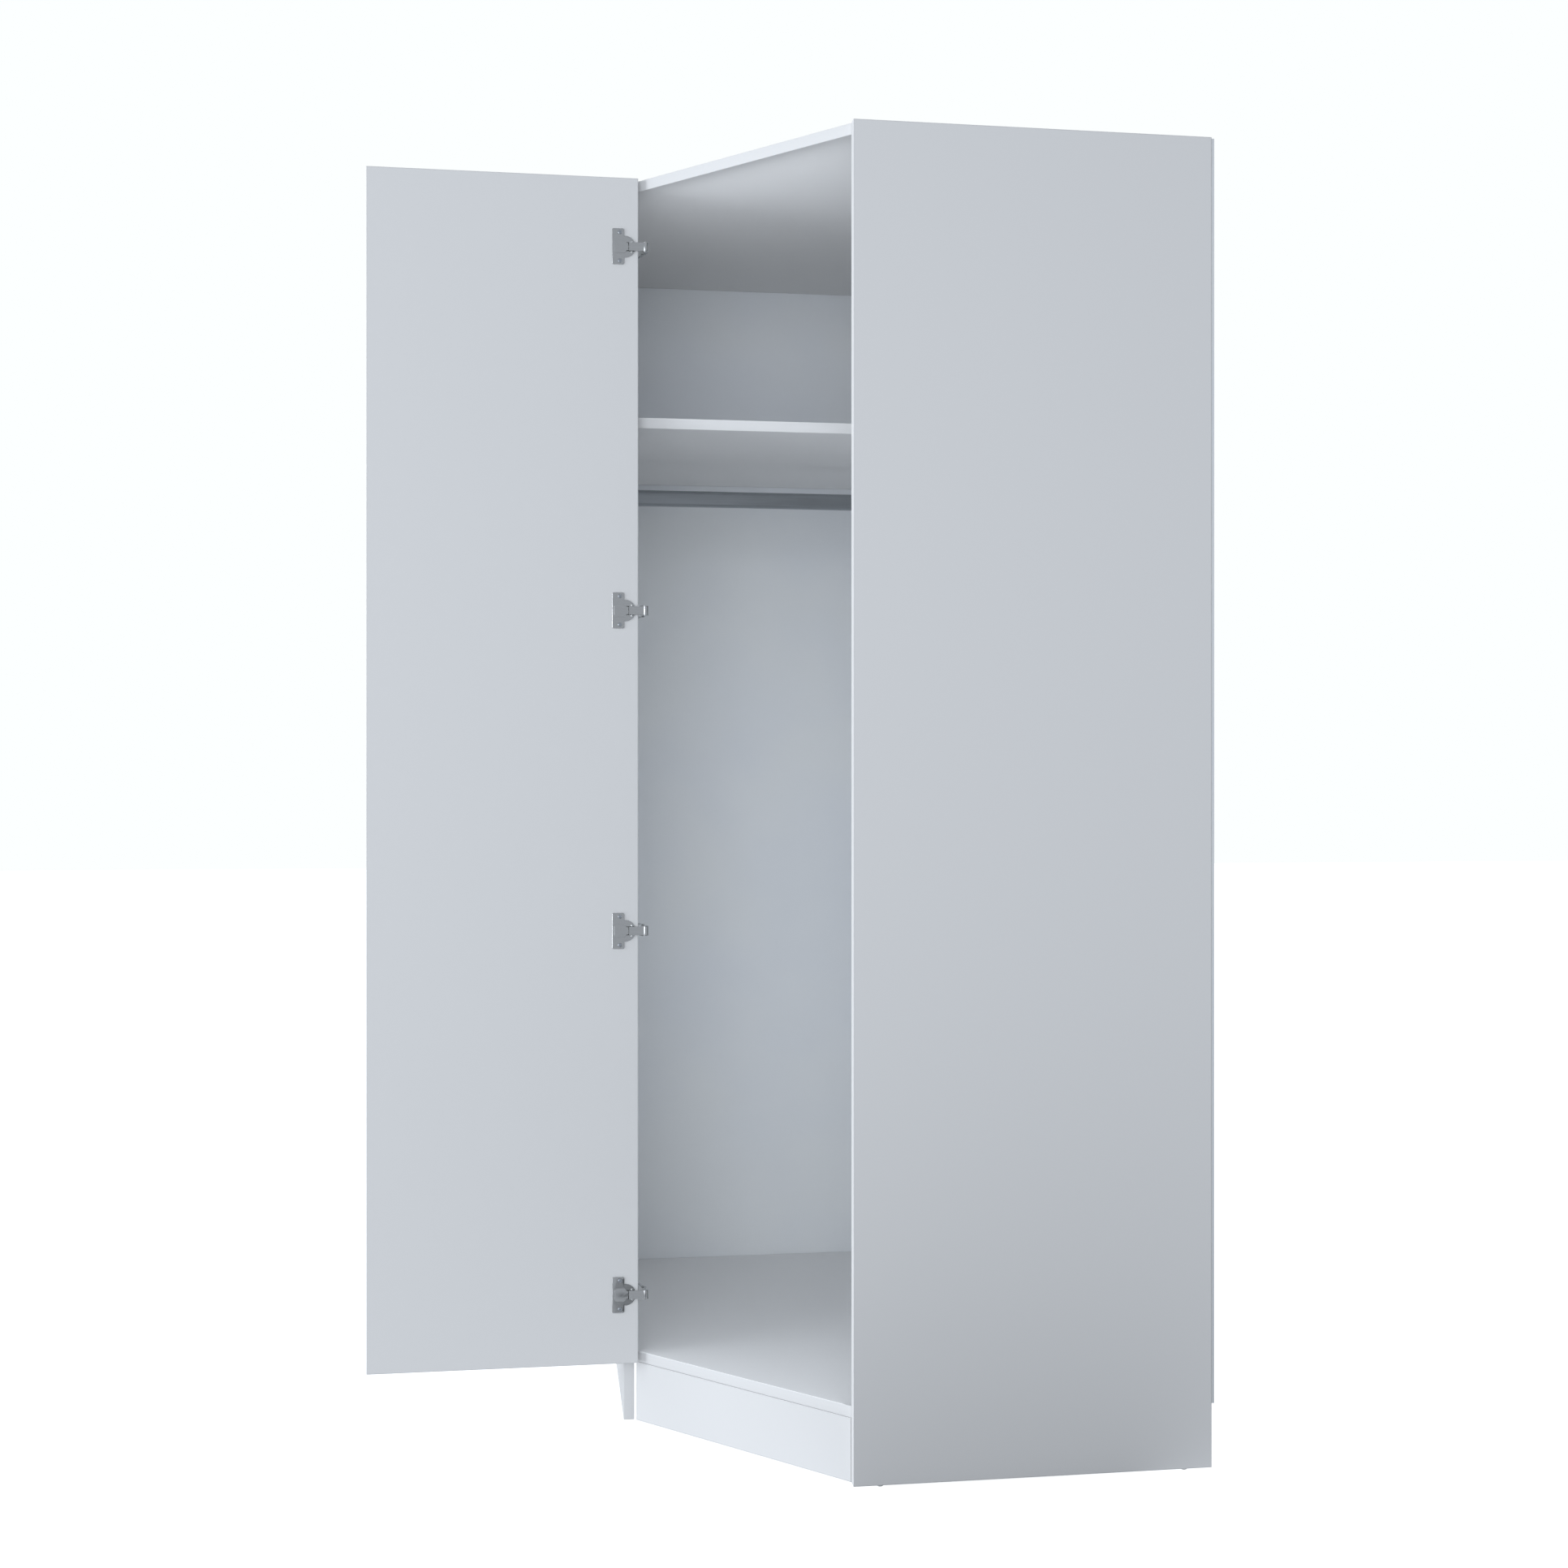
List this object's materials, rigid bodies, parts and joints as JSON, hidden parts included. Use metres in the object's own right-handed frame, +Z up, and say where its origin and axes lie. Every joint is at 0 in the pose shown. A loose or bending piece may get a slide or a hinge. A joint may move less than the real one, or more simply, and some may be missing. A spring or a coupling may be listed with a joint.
{
  "type": "corner wardrobe",
  "caption": "Tall diagonal corner wardrobe with one full-height hinged door standing open, a hat shelf, a hanging rail and a plinth.",
  "frame": {"origin": "on the floor, under the middle of the box round the whole object with its door standing open", "axes": "+Z up; +Y towards the rear wall that faces someone who looks into the cabinet along the open door; +X along the right side board, towards the other wall"},
  "size_m": [1.3392, 0.9146, 2.1035],
  "materials": {
    "white_melamine": "white melamine-faced chipboard with matching edge band, fine satin grain",
    "white_hardboard": "white lacquered hardboard sheet",
    "nickel_steel": "nickel-plated pressed steel",
    "zinc_steel": "bright zinc-plated steel",
    "satin_rail": "satin chrome-plated steel tube",
    "white_plastic": "moulded white plastic"
  },
  "bodies": {
    "cabinet": {"side_right": "white_melamine", "side_left": "white_melamine", "top_board": "white_melamine", "floor_board": "white_melamine", "plinth": "white_melamine", "rear_foot": "white_melamine", "rear_post": "white_melamine", "rear_rail": "white_melamine", "rear_sheet_left": "white_hardboard", "rear_sheet_right": "white_hardboard", "hat_shelf": "white_melamine", "shelf_pin_front": "zinc_steel", "shelf_pin_rear": "zinc_steel", "hanging_rail": "satin_rail", "rail_socket_left": "satin_rail", "rail_socket_right": "satin_rail", "glide_right_front": "white_plastic", "glide_right_rear": "white_plastic", "glide_left_front": "white_plastic", "glide_left_rear": "white_plastic", "glide_corner": "white_plastic", "hinge_arm_bottom": "nickel_steel", "hinge_arm_lower": "nickel_steel", "hinge_arm_upper": "nickel_steel", "hinge_arm_top": "nickel_steel", "mounting_plate_bottom": "nickel_steel", "mounting_plate_lower": "nickel_steel", "mounting_plate_upper": "nickel_steel", "mounting_plate_top": "nickel_steel"},
    "door": {"door": "white_melamine", "hinge_cup_bottom": "nickel_steel", "hinge_cup_lower": "nickel_steel", "hinge_cup_upper": "nickel_steel", "hinge_cup_top": "nickel_steel", "cup_screw_bottom_a": "zinc_steel", "cup_screw_bottom_b": "zinc_steel", "cup_screw_lower_a": "zinc_steel", "cup_screw_lower_b": "zinc_steel", "cup_screw_upper_a": "zinc_steel", "cup_screw_upper_b": "zinc_steel", "cup_screw_top_a": "zinc_steel", "cup_screw_top_b": "zinc_steel", "cup_pin_bottom": "zinc_steel", "cup_pin_lower": "zinc_steel", "cup_pin_upper": "zinc_steel", "cup_pin_top": "zinc_steel"},
    "outer_links": {"outer_link_bottom": "nickel_steel", "outer_link_lower": "nickel_steel", "outer_link_upper": "nickel_steel", "outer_link_top": "nickel_steel"},
    "inner_links": {"inner_link_bottom": "nickel_steel", "inner_link_lower": "nickel_steel", "inner_link_upper": "nickel_steel", "inner_link_top": "nickel_steel"}
  },
  "joints": [
    {"name": "door_swing", "type": "hinge", "parent": "cabinet", "child": "door", "pos_m": [-0.22952, -0.13625, 1.105], "axis": [0, 0, 1], "range_deg": [0, 135]},
    {"name": "outer_link_turn", "type": "hinge", "parent": "cabinet", "child": "outer_links", "pos_m": [-0.21301, -0.1323, 1.105], "axis": [0, 0, 1], "range_deg": [0, 115]},
    {"name": "inner_link_turn", "type": "hinge", "parent": "door", "child": "inner_links", "pos_m": [-0.23187, -0.1458, 1.105], "axis": [0, 0, 1], "range_deg": [-109, 0]}
  ],
  "couplings": [
    {"joint": "outer_link_turn", "follows": "door_swing", "ratio": 0.84384},
    {"joint": "inner_link_turn", "follows": "door_swing", "ratio": -0.80049}
  ]
}
